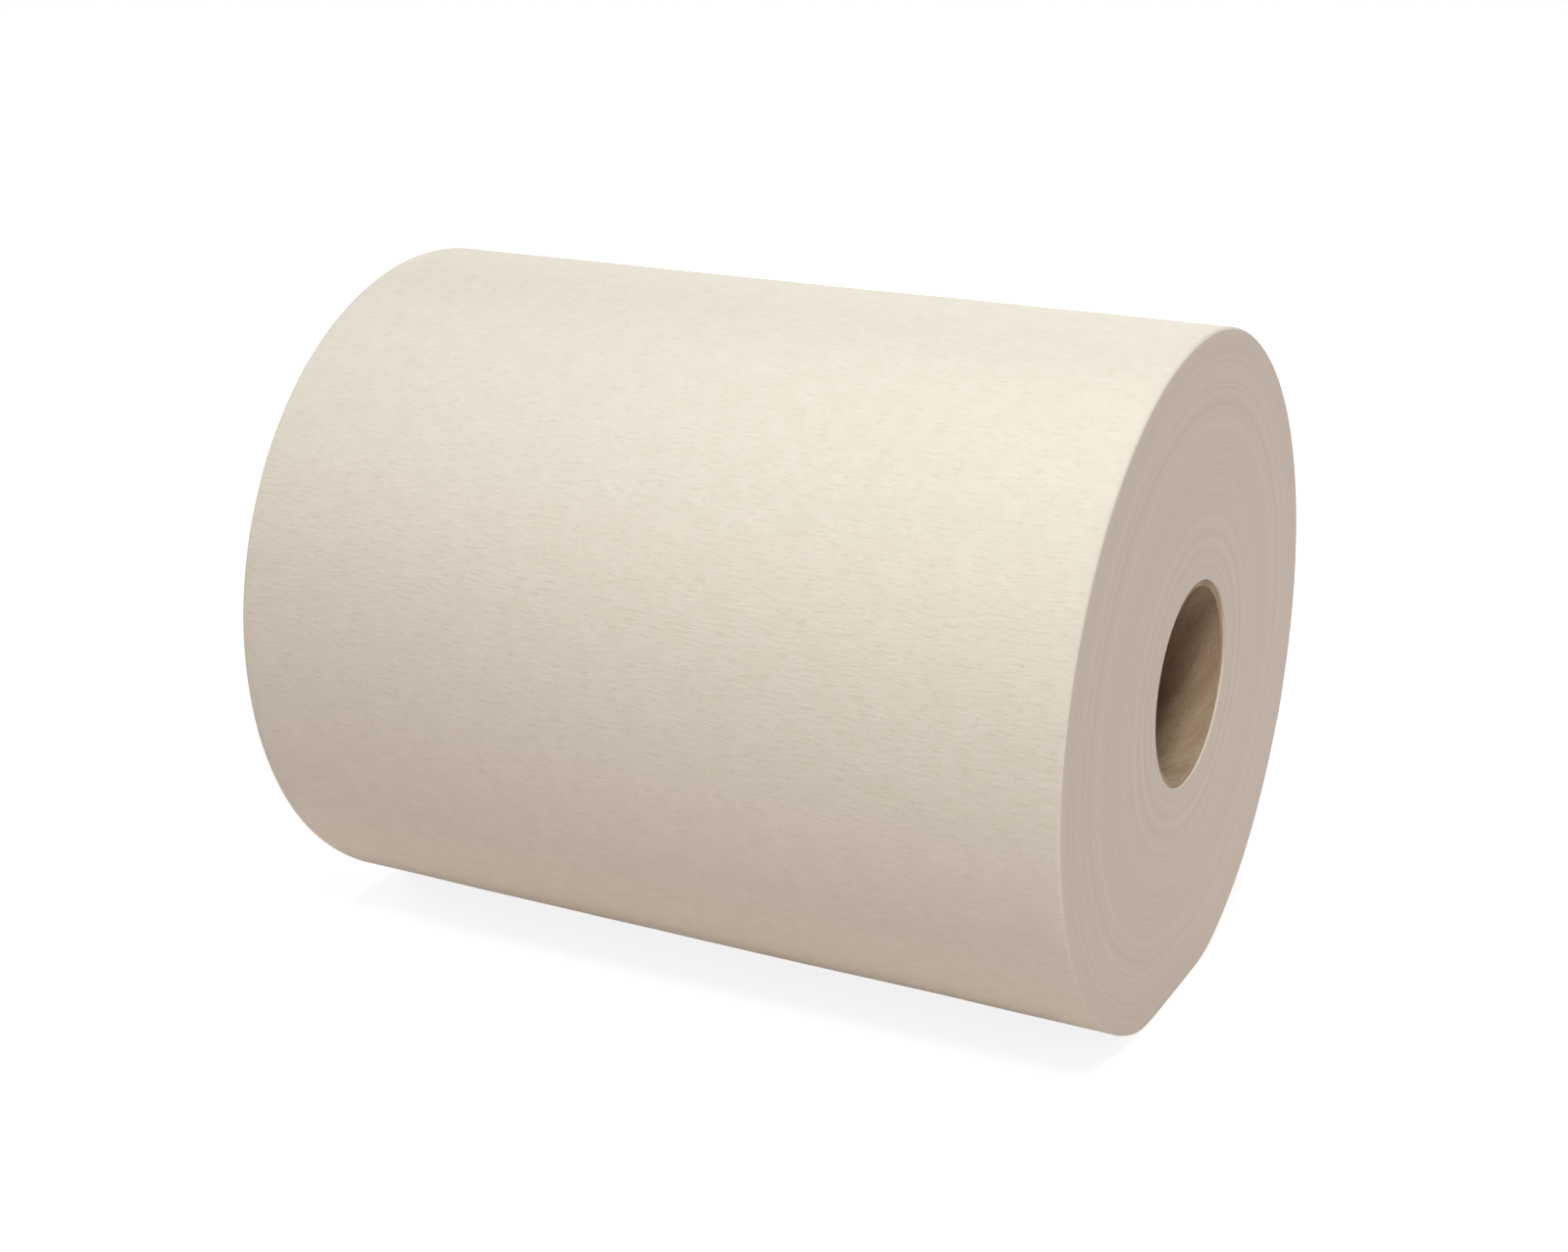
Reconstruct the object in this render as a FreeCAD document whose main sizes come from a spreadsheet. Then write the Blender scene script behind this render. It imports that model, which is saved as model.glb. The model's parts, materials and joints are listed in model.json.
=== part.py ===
"""A roll of paper towel wound on a cardboard core, lying on its side.

The roll lies along X, with the surface it lies on at Z = 0. The origin is under the middle
of the roll, on that surface. All sizes are in millimetres and all angles in degrees.
"""
import FreeCAD, Part
import math
import os

import Sketcher

# Driving dimensions: alias, value and what it is
SIZES = [
    ("web_width", 203.0, "width of the paper web, which is the length of the roll"),
    ("roll_diameter", 160.0, "outside diameter, measured across the last turn"),
    ("core_bore", 44.5, "inside diameter of the cardboard core"),
    ("core_wall", 1.5, "wall of the cardboard core"),
    ("core_inset", 0.5, "how far each end of the core lies inside the paper's end"),
    ("glue_gap", 0.05, "film of glue between the core and the first turn"),
    ("sheet_thickness", 0.2, "thickness of the paper at its free edge, where nothing presses it"),
    ("tail_angle", -25.0, "where the last turn ends, counted upwards from the back"),
    ("flat_width", 42.0, "width of the flat spot that the roll's own weight presses"),
    ("rim_bevel", 0.8, "bevel that the log saw leaves on the outer turns"),
    ("line_pitch", 7.5, "space between the turns drawn on the end faces, 60 sheets for each"),
    ("line_width", 0.8, "width of the line that draws the turns"),
    ("line_depth", 0.3, "how far that line lies behind the end face"),
    ("line_inset", 3.0, "plain paper between the rim and the outermost line"),
    ("line_clearance", 2.0, "least plain paper between the core and the innermost line"),
]

OVERCUT = 3.0  # how far a cutting profile reaches past the paper

# Radii about the roll's axis, as expressions of the sizes above
UNDER_RADIUS = "(Sizes.roll_diameter - Sizes.sheet_thickness) / 2"
CROWN_RADIUS = "(Sizes.roll_diameter + Sizes.sheet_thickness) / 2"
SEAT_RADIUS = "Sizes.core_bore / 2 + Sizes.core_wall + Sizes.glue_gap"
AXIS_HEIGHT = f"sqrt(({UNDER_RADIUS})^2 - (Sizes.flat_width / 2)^2)"

# The points of a line or an arc, and the parts of a sketch's own frame
START, END, CENTRE = 1, 2, 3
SKETCH_ORIGIN = (-1, 1)
SKETCH_AXIS = -1


def make_sheet(doc):
    """Fills the table of driving dimensions."""
    sheet = doc.addObject("Spreadsheet::Sheet", "Sizes")
    for row, (alias, value, meaning) in enumerate(SIZES, start=1):
        sheet.set(f"A{row}", meaning)
        sheet.set(f"B{row}", str(value))
        sheet.setAlias(f"B{row}", alias)
    doc.recompute()
    return sheet


def new_body(doc, name):
    """A body whose own X axis is the roll's axis, at its height above the surface."""
    body = doc.addObject("PartDesign::Body", name)
    body.Label = name
    body.setExpression("Placement.Base.z", AXIS_HEIGHT)
    return body


def origin_part(body, role):
    return next(part for part in body.Origin.OriginFeatures if part.Role == role)


def new_sketch(body, name, plane, offset=None):
    """A sketch on one of the body's origin planes, moved along its normal by an expression."""
    sketch = body.newObject("Sketcher::SketchObject", name)
    sketch.AttachmentSupport = [(origin_part(body, plane), "")]
    sketch.MapMode = "FlatFace"
    if offset:
        sketch.setExpression("AttachmentOffset.Base.z", offset)
    return sketch


def constrain(sketch, *constraints):
    for kind, *where in constraints:
        sketch.addConstraint(Sketcher.Constraint(kind, *where))


def dimension(sketch, name, constraint, expression):
    """Adds a named dimension to a sketch and binds it to the sizes."""
    index = sketch.addConstraint(constraint)
    sketch.renameConstraint(index, name)
    sketch.setExpression(f"Constraints.{name}", expression)


def add_circle(sketch, name, radius, expression):
    """A circle round the roll's axis."""
    circle = Part.Circle(FreeCAD.Vector(), FreeCAD.Vector(0, 0, 1), radius)
    index = sketch.addGeometry(circle, False)
    constrain(sketch, ("Coincident", index, CENTRE, *SKETCH_ORIGIN))
    dimension(sketch, name, Sketcher.Constraint("Radius", index, radius), expression)


def tail_direction(sheet):
    """From the roll's axis to the free edge of the paper, in a sketch across the roll."""
    tail = math.radians(sheet.tail_angle)
    return FreeCAD.Vector(math.cos(tail), math.sin(tail), 0)


def add_spiral(sketch, sheet, name, start_radius, expression, pitch, spiral_line, turns):
    """A spiral of whole turns that runs inwards from the line through the tail.

    The half turns below the tail's line are centred on the axis and those above it half a
    pitch towards the tail, so they meet smoothly and the radius falls by a pitch each turn.

    spiral_line holds the sketch's construction line through both centres, and the outer
    centre is its end. Returns the first and the last arc.
    """
    tail = math.radians(sheet.tail_angle)
    towards_tail = tail_direction(sheet)
    axis = FreeCAD.Vector(0, 0, 1)
    arcs = []
    for half in range(2 * turns):
        above = half % 2 == 0
        radius = start_radius - (half + 1) * pitch / 2
        centre = towards_tail * (pitch / 2 if above else 0)
        first = tail if above else tail + math.pi
        arc = Part.ArcOfCircle(Part.Circle(centre, axis, radius), first, first + math.pi)
        index = sketch.addGeometry(arc, False)
        constrain(
            sketch,
            ("Coincident", index, CENTRE, spiral_line, END if above else START),
            ("PointOnObject", index, END, spiral_line),
        )
        if arcs:
            constrain(sketch, ("Coincident", index, START, arcs[-1], END))
        else:
            constrain(sketch, ("PointOnObject", index, START, spiral_line))
        arcs.append(index)
    first_radius = start_radius - pitch / 2
    dimension(sketch, name, Sketcher.Constraint("Radius", arcs[0], first_radius), expression)
    return arcs[0], arcs[-1]


def add_spiral_line(sketch, sheet, name, pitch, expression):
    """The construction line from the roll's axis to the spiral's outer centre."""
    outer = tail_direction(sheet) * (pitch / 2)
    line = sketch.addGeometry(Part.LineSegment(FreeCAD.Vector(), outer), True)
    constrain(sketch, ("Coincident", line, START, *SKETCH_ORIGIN))
    angle = math.radians(sheet.tail_angle)
    dimension(
        sketch,
        f"{name}_tail",
        Sketcher.Constraint("Angle", SKETCH_AXIS, START, line, START, angle),
        "Sizes.tail_angle * 1 deg",
    )
    length = Sketcher.Constraint("Distance", line, START, line, END, pitch / 2)
    dimension(sketch, f"{name}_shift", length, expression)
    return line


def add_edge(sketch, here, there, here_at, there_at):
    """A straight edge between two points of the sketch, given as (geometry, point)."""
    edge = sketch.addGeometry(Part.LineSegment(here_at, there_at), False)
    constrain(
        sketch,
        ("Coincident", edge, START, *here),
        ("Coincident", edge, END, *there),
    )


def draw_last_turn(sketch, sheet):
    """Outline of the wound paper: the last turn, closed by the step at its tail.

    The last turn comes over the top and down the back, so its free edge faces down.
    """
    step = sheet.sheet_thickness
    crown = (sheet.roll_diameter + step) / 2
    line = add_spiral_line(sketch, sheet, "turn", step, "Sizes.sheet_thickness / 2")
    first, last = add_spiral(
        sketch, sheet, "turn_radius", crown, "Sizes.roll_diameter / 2", step, line, 1
    )
    tail = tail_direction(sheet)
    add_edge(sketch, (last, END), (first, START), tail * (crown - step), tail * crown)


def draw_turn_lines(sketch, sheet):
    """The turns as the end face shows them: one narrow spiral, drawn coarser than the paper."""
    pitch = sheet.line_pitch
    outer = (sheet.roll_diameter - sheet.sheet_thickness) / 2 - sheet.line_inset
    inner = outer - sheet.line_width
    seat = sheet.core_bore / 2 + sheet.core_wall + sheet.glue_gap
    turns = int((inner - seat - sheet.line_clearance) / pitch)
    line = add_spiral_line(sketch, sheet, "line", pitch, "Sizes.line_pitch / 2")
    outside = f"{UNDER_RADIUS} - Sizes.line_inset - Sizes.line_pitch / 2"
    inside = f"{outside} - Sizes.line_width"
    ends = [
        add_spiral(sketch, sheet, name, radius, expression, pitch, line, turns)
        for name, radius, expression in (("outside", outer, outside), ("inside", inner, inside))
    ]
    (first_outside, last_outside), (first_inside, last_inside) = ends
    tail = tail_direction(sheet)
    for outside_end, inside_end, reach in (
        ((first_outside, START), (first_inside, START), 0),
        ((last_outside, END), (last_inside, END), turns * pitch),
    ):
        outside_at = tail * (outer - reach)
        inside_at = tail * (inner - reach)
        add_edge(sketch, outside_end, inside_end, outside_at, inside_at)


def cut_flat_spot(body, sheet):
    """Takes off the sliver below the surface, where the roll's own weight presses it flat."""
    side = sheet.roll_diameter / 2
    surface = math.sqrt(
        ((sheet.roll_diameter - sheet.sheet_thickness) / 2) ** 2 - (sheet.flat_width / 2) ** 2
    )
    under = side + OVERCUT
    corners = [(-side, -under), (side, -under), (side, -surface), (-side, -surface)]
    sketch = new_sketch(body, "flat_spot_sketch", "YZ_Plane")
    draw_box(
        sketch,
        corners,
        (
            ("under", "DistanceY", 0, -under, f"-(Sizes.roll_diameter / 2 + {OVERCUT})"),
            ("back", "DistanceX", 1, side, "Sizes.roll_diameter / 2"),
            ("surface", "DistanceY", 2, -surface, f"-{AXIS_HEIGHT}"),
            ("front", "DistanceX", 3, -side, "-Sizes.roll_diameter / 2"),
        ),
    )
    pocket = body.newObject("PartDesign::Pocket", "flat_spot")
    pocket.Profile = sketch
    pocket.Type = "ThroughAll"
    pocket.Midplane = True
    return pocket


def draw_box(sketch, corners, sides):
    """A rectangle through four corners, from the bottom side round to the left side.

    sides holds each side's name, kind of dimension, number, place and expression.
    """
    points = [FreeCAD.Vector(x, y, 0) for x, y in corners]
    for here, there in zip(points, points[1:] + points[:1]):
        sketch.addGeometry(Part.LineSegment(here, there), False)
    bottom, right, top, left = range(4)
    constrain(
        sketch,
        ("Coincident", bottom, END, right, START),
        ("Coincident", right, END, top, START),
        ("Coincident", top, END, left, START),
        ("Coincident", left, END, bottom, START),
        ("Horizontal", bottom),
        ("Vertical", right),
        ("Horizontal", top),
        ("Vertical", left),
    )
    for name, kind, number, place, expression in sides:
        constraint = Sketcher.Constraint(kind, *SKETCH_ORIGIN, number, START, place)
        dimension(sketch, name, constraint, expression)


def bevel_rim(body, sheet):
    """Bevels the outer edge of the +X end, as a cut turned about the roll's axis."""
    crown = (sheet.roll_diameter + sheet.sheet_thickness) / 2
    past_face = sheet.web_width / 2 + OVERCUT
    past_crown = crown + OVERCUT
    leg = sheet.rim_bevel + 2 * OVERCUT
    points = [
        FreeCAD.Vector(past_face - leg, past_crown, 0),
        FreeCAD.Vector(past_face, past_crown, 0),
        FreeCAD.Vector(past_face, past_crown - leg, 0),
    ]
    sketch = new_sketch(body, "rim_sketch", "XZ_Plane")
    for here, there in zip(points, points[1:] + points[:1]):
        sketch.addGeometry(Part.LineSegment(here, there), False)
    top, outer, slope = range(3)
    constrain(
        sketch,
        ("Coincident", top, END, outer, START),
        ("Coincident", outer, END, slope, START),
        ("Coincident", slope, END, top, START),
        ("Horizontal", top),
        ("Vertical", outer),
        ("Equal", top, outer),
    )
    for name, constraint, expression in (
        (
            "past_face",
            Sketcher.Constraint("DistanceX", *SKETCH_ORIGIN, outer, START, past_face),
            f"Sizes.web_width / 2 + {OVERCUT}",
        ),
        (
            "past_crown",
            Sketcher.Constraint("DistanceY", *SKETCH_ORIGIN, outer, START, past_crown),
            f"{CROWN_RADIUS} + {OVERCUT}",
        ),
        (
            "leg",
            Sketcher.Constraint("DistanceX", top, START, top, END, leg),
            f"Sizes.rim_bevel + 2 * {OVERCUT}",
        ),
    ):
        dimension(sketch, name, constraint, expression)
    groove = body.newObject("PartDesign::Groove", "rim")
    groove.Profile = sketch
    groove.ReferenceAxis = (sketch, ["H_Axis"])
    groove.Angle = 360.0
    return groove


def cut_turn_lines(body, sheet):
    """Cuts the spiral line of the turns into the +X end face."""
    sketch = new_sketch(body, "turn_line_sketch", "YZ_Plane", "Sizes.web_width / 2")
    draw_turn_lines(sketch, sheet)
    pocket = body.newObject("PartDesign::Pocket", "turn_lines")
    pocket.Profile = sketch
    pocket.Type = "Length"
    pocket.setExpression("Length", "Sizes.line_depth")
    return pocket


def mirror_ends(body, features):
    """Repeats the work on the +X end at the -X end."""
    mirrored = body.newObject("PartDesign::Mirrored", "other_end")
    mirrored.Originals = features
    mirrored.MirrorPlane = (origin_part(body, "YZ_Plane"), [""])
    body.Tip = mirrored
    return mirrored


def volume_after(doc, body, feature):
    """Recomputes, prints a feature's volume and returns it."""
    doc.recompute()
    volume = feature.Shape.Volume
    print(f"{body.Label}.{feature.Name}: {volume:.1f} mm3")
    return volume


def make_towel_roll(doc, sheet):
    """The wound paper: every turn of the web as one solid, with its seat for the core."""
    body = new_body(doc, "towel_roll")
    sketch = new_sketch(body, "turn_sketch", "YZ_Plane")
    draw_last_turn(sketch, sheet)
    seat = sheet.core_bore / 2 + sheet.core_wall + sheet.glue_gap
    add_circle(sketch, "core_seat", seat, SEAT_RADIUS)
    pad = body.newObject("PartDesign::Pad", "wound_paper")
    pad.Profile = sketch
    pad.Midplane = True
    pad.setExpression("Length", "Sizes.web_width")
    volume = volume_after(doc, body, pad)
    end_work = []
    for cut in (cut_flat_spot, bevel_rim, cut_turn_lines):
        feature = cut(body, sheet)
        left = volume_after(doc, body, feature)
        if left >= volume:
            raise RuntimeError(f"{feature.Name} takes nothing off")
        volume = left
        end_work.append(feature)
    volume_after(doc, body, mirror_ends(body, end_work[1:]))
    return body


def make_core(doc, sheet):
    """The cardboard tube that the paper is wound on."""
    body = new_body(doc, "core")
    sketch = new_sketch(body, "tube_sketch", "YZ_Plane")
    radius = sheet.core_bore / 2
    add_circle(sketch, "bore", radius, "Sizes.core_bore / 2")
    outside = "Sizes.core_bore / 2 + Sizes.core_wall"
    add_circle(sketch, "outside", radius + sheet.core_wall, outside)
    pad = body.newObject("PartDesign::Pad", "tube")
    pad.Profile = sketch
    pad.Midplane = True
    pad.setExpression("Length", "Sizes.web_width - 2 * Sizes.core_inset")
    volume_after(doc, body, pad)
    return body


def check(doc, bodies):
    """Stops the script if an object failed or a sub-part isn't one valid closed solid."""
    for item in doc.Objects:
        if "Invalid" in item.State or "Error" in item.State:
            raise RuntimeError(f"{item.Name} failed: {item.State}")
    for body in bodies:
        shape = body.Shape
        if shape.isNull() or not shape.isValid() or len(shape.Solids) != 1:
            raise RuntimeError(f"{body.Label} isn't one valid solid")


def export(bodies):
    """Writes each sub-part under its own name and prints its extent."""
    os.makedirs("parts", exist_ok=True)
    for body in bodies:
        body.Shape.exportStep(f"parts/{body.Label}.step")
        box = body.Shape.optimalBoundingBox(False)
        print(
            f"{body.Label}: X {box.XMin:.3f} to {box.XMax:.3f}, "
            f"Y {box.YMin:.3f} to {box.YMax:.3f}, Z {box.ZMin:.3f} to {box.ZMax:.3f}"
        )


def main():
    doc = FreeCAD.newDocument("paper_towel_roll")
    sheet = make_sheet(doc)
    bodies = [make_towel_roll(doc, sheet), make_core(doc, sheet)]
    doc.recompute()
    check(doc, bodies)
    export(bodies)


main()
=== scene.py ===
"""A roll of cream paper towel on an open cardboard core, lying on its side on a pale floor.

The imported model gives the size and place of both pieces. Everything is in metres and in its
frame: X along the roll towards the end that the camera sees, Y towards the roll's back, Z up
and the floor at Z = 0. The paper is wound so that, seen from +X, its radius falls
anticlockwise from the free edge, which lies on the back and faces down.
"""
import json
import logging
import math
from collections.abc import Callable
from dataclasses import dataclass
from enum import Enum
from typing import ClassVar

import bpy
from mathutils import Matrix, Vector, noise


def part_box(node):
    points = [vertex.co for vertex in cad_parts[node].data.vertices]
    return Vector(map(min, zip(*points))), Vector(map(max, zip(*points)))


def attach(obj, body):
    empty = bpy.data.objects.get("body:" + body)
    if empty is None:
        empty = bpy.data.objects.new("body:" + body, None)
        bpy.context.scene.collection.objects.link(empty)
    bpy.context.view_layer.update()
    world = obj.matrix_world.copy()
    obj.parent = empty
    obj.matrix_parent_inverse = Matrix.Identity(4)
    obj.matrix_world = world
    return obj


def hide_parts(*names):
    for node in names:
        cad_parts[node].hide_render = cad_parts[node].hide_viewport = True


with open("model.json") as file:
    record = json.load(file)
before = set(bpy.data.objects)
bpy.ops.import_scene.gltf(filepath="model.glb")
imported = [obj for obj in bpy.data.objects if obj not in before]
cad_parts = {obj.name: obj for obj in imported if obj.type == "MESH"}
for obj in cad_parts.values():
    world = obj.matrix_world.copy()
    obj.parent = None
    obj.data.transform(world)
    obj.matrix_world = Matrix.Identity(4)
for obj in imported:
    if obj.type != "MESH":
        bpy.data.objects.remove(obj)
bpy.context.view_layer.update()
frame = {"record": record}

LOG = logging.getLogger("paper_towel_roll")

MM = 0.001
FULL_TURN = 2 * math.pi
TAIL_ANGLE = math.radians(-25)  # the paper's free edge, from +Y towards +Z
WOUND_PITCH = 0.12  # mm that the radius grows in a turn of tightly wound towel
GLUE_FILM = 0.05 * MM  # between the core and the first turn
ON_A_FACE = 0.01 * MM  # how far from a face a point that lies on it may be
SAME_POINT = 0.002 * MM  # how far apart two points that are merged may be
SMOOTH_BELOW = math.radians(35)  # the largest angle between two faces that are shaded as one
WHITE = "#FFFFFF"

# A colour Mix node's sockets, by number because its other kinds of socket have the same names
MIX_SHARE, MIX_A, MIX_B = 0, 6, 7
MIX_RESULT = 2

Colour = tuple[float, float, float, float]


class Side(Enum):
    """The kinds of surface on the wound paper, by their number among its materials."""

    WEB = 0
    SAW_CUT = 1


def linear(code: str) -> Colour:
    """Turns an sRGB colour code into a linear colour.

    Args:
        code: The colour as #RRGGBB.

    Returns:
        Linear red, green and blue, and an alpha of 1.
    """
    parts = [int(code[i:i + 2], 16) / 255 for i in (1, 3, 5)]
    red, green, blue = [c / 12.92 if c <= 0.04045 else ((c + 0.055) / 1.055) ** 2.4 for c in parts]
    return red, green, blue, 1.0


def clamp(value: float) -> float:
    """Keeps a value from 0 to 1."""
    return min(1.0, max(0.0, value))


def polar(at: Vector) -> tuple[float, float]:
    """Gives a point's distance from the X axis and its angle, from +Y towards +Z."""
    return math.hypot(at.y, at.z), math.atan2(at.z, at.y)


def spread(at: Vector, factor: float) -> Vector:
    """Gives the point that lies this many times as far from the X axis."""
    return Vector((at.x, at.y * factor, at.z * factor))


@dataclass(frozen=True)
class Wave:
    """A shallow, uneven wave along a surface, drawn from smooth noise.

    Attributes:
        span: Length of a wave.
        height: How far it reaches either way.
        row: The row of the noise that it is read along, so that no two waves match.
        layer: The layer of the noise that this row is in.
    """

    span: float
    height: float
    row: float = 0
    layer: float = 0

    def at(self, place: float, side: float = 1) -> float:
        """Reads the wave.

        Args:
            place: Distance along it.
            side: 1 for the roll's near end and -1 for its far end, where they differ.

        Returns:
            Its height there.
        """
        return self.height * noise.noise(Vector((place / self.span, side * self.row, self.layer)))


def add_node(
    tree: bpy.types.NodeTree,
    kind: str,
    inputs: dict[int | str, object] | None = None,
    **settings: object,
) -> bpy.types.Node:
    """Adds a shader node with its settings and links.

    Args:
        tree: The tree that gets the node.
        kind: The node's type without its ShaderNode prefix, such as Bump.
        inputs: For an input's name or number, its value or the output that feeds it.
        **settings: The node's own properties, such as operation.

    Returns:
        The new node.
    """
    node = tree.nodes.new("ShaderNode" + kind)
    for name, value in settings.items():
        setattr(node, name, value)
    for key, value in (inputs or {}).items():
        if isinstance(value, bpy.types.NodeSocket):
            tree.links.new(value, node.inputs[key])
        else:
            node.inputs[key].default_value = value
    return node


def new_material(name: str) -> bpy.types.Material:
    """Makes an empty node material.

    Args:
        name: Its name.

    Returns:
        The material.
    """
    material = bpy.data.materials.new(name)
    material.use_nodes = True
    material.node_tree.nodes.clear()
    return material


def reshape(piece: bpy.types.Object, move: Callable[[int, Vector], Vector]) -> None:
    """Moves each vertex of a piece in object mode.

    Args:
        piece: The piece.
        move: Gives a vertex's new place from its number and its place.
    """
    for vertex in piece.data.vertices:
        vertex.co = move(vertex.index, vertex.co)


def edit(piece: bpy.types.Object, picked: Callable[[Vector], bool], kind: str = "VERT") -> None:
    """Goes into edit mode with only the picked vertices selected, and what lies between them.

    Args:
        piece: The piece to edit.
        picked: Says of a vertex's place whether it is selected.
        kind: The selection mode: VERT, EDGE or FACE.
    """
    bpy.ops.object.mode_set(mode="EDIT")
    bpy.ops.mesh.select_mode(type="VERT")
    bpy.ops.mesh.select_all(action="DESELECT")
    bpy.ops.object.mode_set(mode="OBJECT")
    for vertex in piece.data.vertices:
        vertex.select = picked(vertex.co)
    bpy.ops.object.mode_set(mode="EDIT")
    bpy.ops.mesh.select_mode(type="EDGE")
    bpy.ops.mesh.select_mode(type=kind)


def draw_section(name: str, length: float, inner: float, outer: float) -> bpy.types.Object:
    """Adds a plane that is the half section of a tube round the X axis.

    Args:
        name: The piece's name.
        length: The tube's length, along X.
        inner: The tube's inner radius.
        outer: The tube's outer radius.

    Returns:
        The plane, above the X axis and facing along Y, in object mode.
    """
    bpy.ops.object.select_all(action="DESELECT")
    bpy.ops.mesh.primitive_plane_add(
        size=1, location=(0, 0, (inner + outer) / 2), rotation=(math.pi / 2, 0, 0)
    )
    piece = bpy.context.object
    piece.name = piece.data.name = name
    piece.scale = (length, outer - inner, 1)
    bpy.ops.object.transform_apply(location=True, rotation=True, scale=True)
    return piece


def round_corners(
    piece: bpy.types.Object, picked: Callable[[Vector], bool], size: float, edges: int
) -> None:
    """Rounds corners of a section and takes out its face, which leaves its outline.

    Args:
        piece: The section, in object mode.
        picked: Says of a corner's place whether it is rounded.
        size: How far from the corner the rounding starts.
        edges: Edges across the rounding, where 1 is a bevel.
    """
    edit(piece, picked)
    bpy.ops.mesh.bevel(offset=size, segments=edges, affect="VERTICES")
    bpy.ops.mesh.select_all(action="SELECT")
    bpy.ops.mesh.delete(type="ONLY_FACE")
    bpy.ops.object.mode_set(mode="OBJECT")


def divide(piece: bpy.types.Object, picked: Callable[[Vector], bool], cuts: int) -> None:
    """Divides edges of a section's outline.

    Args:
        piece: The outline, in object mode.
        picked: Says of a point's place whether it is at an end of such an edge.
        cuts: Points that are added along each edge.
    """
    edit(piece, picked, "EDGE")
    bpy.ops.mesh.subdivide(number_cuts=cuts)
    bpy.ops.object.mode_set(mode="OBJECT")


def spin_round(piece: bpy.types.Object, steps: int) -> None:
    """Spins a section's outline once round the X axis, anticlockwise seen from +X.

    The last section lies on the first one. It isn't merged with it and is left selected.

    Args:
        piece: The outline, in object mode.
        steps: Faces round the turn.
    """
    edit(piece, lambda at: True)
    bpy.ops.mesh.spin(
        steps=steps, angle=FULL_TURN, center=(0, 0, 0), axis=(-1, 0, 0), use_auto_merge=False
    )
    bpy.ops.object.mode_set(mode="OBJECT")


def close_mesh(piece: bpy.types.Object) -> None:
    """Merges a piece's doubles and turns its faces outwards.

    Args:
        piece: The piece, in object mode before and after.
    """
    bpy.ops.object.mode_set(mode="EDIT")
    bpy.ops.mesh.select_all(action="SELECT")
    bpy.ops.mesh.remove_doubles(threshold=SAME_POINT)
    bpy.ops.mesh.normals_make_consistent(inside=False)
    bpy.ops.object.mode_set(mode="OBJECT")


def place(piece: bpy.types.Object, height: float) -> None:
    """Lifts a piece to its height and smooths it, with its place in its mesh.

    Args:
        piece: The piece, made round the X axis.
        height: The height of its axis.
    """
    piece.location.z = height
    bpy.ops.object.transform_apply(location=True, rotation=True, scale=True)
    bpy.ops.object.shade_smooth_by_angle(angle=SMOOTH_BELOW)


@dataclass(frozen=True)
class RollPlace:
    """Where a point of the roll is, as outputs in a material's tree, in millimetres.

    Attributes:
        along: Distance along the axis from the roll's middle.
        radius: Distance from the axis, before the turns were pressed together under the roll.
        turned: Share of a turn from the free edge, anticlockwise seen from +X.
        position: All three distances, with the axis as the first.
    """

    PRESSED: ClassVar[str] = "pressed_in"

    along: bpy.types.NodeSocket
    radius: bpy.types.NodeSocket
    turned: bpy.types.NodeSocket
    position: bpy.types.NodeSocket

    @classmethod
    def find(cls, tree: bpy.types.NodeTree, axis_height: float) -> "RollPlace":
        """Works the place out from Object coordinates.

        Args:
            tree: The material's tree.
            axis_height: Height of the roll's axis in metres.

        Returns:
            The place.
        """
        coordinates = add_node(tree, "TexCoord")
        # Arctangent jumps from half a turn to minus half, so that is turned to the free edge
        centred = add_node(
            tree,
            "Mapping",
            {
                "Vector": coordinates.outputs["Object"],
                "Location": (0, 0, axis_height),
                "Rotation": (TAIL_ANGLE + math.pi, 0, 0),
                "Scale": (MM, MM, MM),
            },
            vector_type="TEXTURE",
        )
        split = add_node(tree, "SeparateXYZ", {0: centred.outputs[0]})
        angle = add_node(
            tree, "Math", {0: split.outputs["Z"], 1: split.outputs["Y"]}, operation="ARCTAN2"
        )
        turned = add_node(
            tree,
            "Math",
            {0: angle.outputs[0], 1: 1 / FULL_TURN, 2: 0.5},
            operation="MULTIPLY_ADD",
        )
        across = add_node(
            tree, "VectorMath", {0: centred.outputs[0], 1: (0, 1, 1)}, operation="MULTIPLY"
        )
        reached = add_node(tree, "VectorMath", {0: across.outputs[0]}, operation="LENGTH")
        pressed = add_node(tree, "Attribute", attribute_name=cls.PRESSED, attribute_type="GEOMETRY")
        radius = add_node(tree, "Math", {0: reached.outputs["Value"], 1: pressed.outputs["Fac"]})
        return cls(split.outputs["X"], radius.outputs[0], turned.outputs[0], centred.outputs[0])


@dataclass(frozen=True)
class Layer:
    """A colour that lies over another where a pattern passes a value.

    Attributes:
        code: The colour as #RRGGBB.
        start: The pattern's value at which it starts to show.
        full: The value from which it shows as much as it does anywhere.
        cover: How much of the colour under it it then hides.
    """

    code: str
    start: float
    full: float
    cover: float = 1.0

    def over(
        self,
        tree: bpy.types.NodeTree,
        pattern: bpy.types.NodeSocket,
        below: bpy.types.NodeSocket | Colour,
    ) -> bpy.types.NodeSocket:
        """Lays the colour over another.

        Args:
            tree: The material's tree.
            pattern: The output that gives the pattern.
            below: The other colour, or the output that gives it.

        Returns:
            The output that gives the two together.
        """
        amount = add_node(
            tree,
            "MapRange",
            {
                "Value": pattern,
                "From Min": self.start,
                "From Max": self.full,
                "To Min": 0.0,
                "To Max": self.cover,
            },
        )
        mixed = add_node(
            tree,
            "Mix",
            {MIX_SHARE: amount.outputs[0], MIX_A: below, MIX_B: linear(self.code)},
            data_type="RGBA",
        )
        return mixed.outputs[MIX_RESULT]


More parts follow.
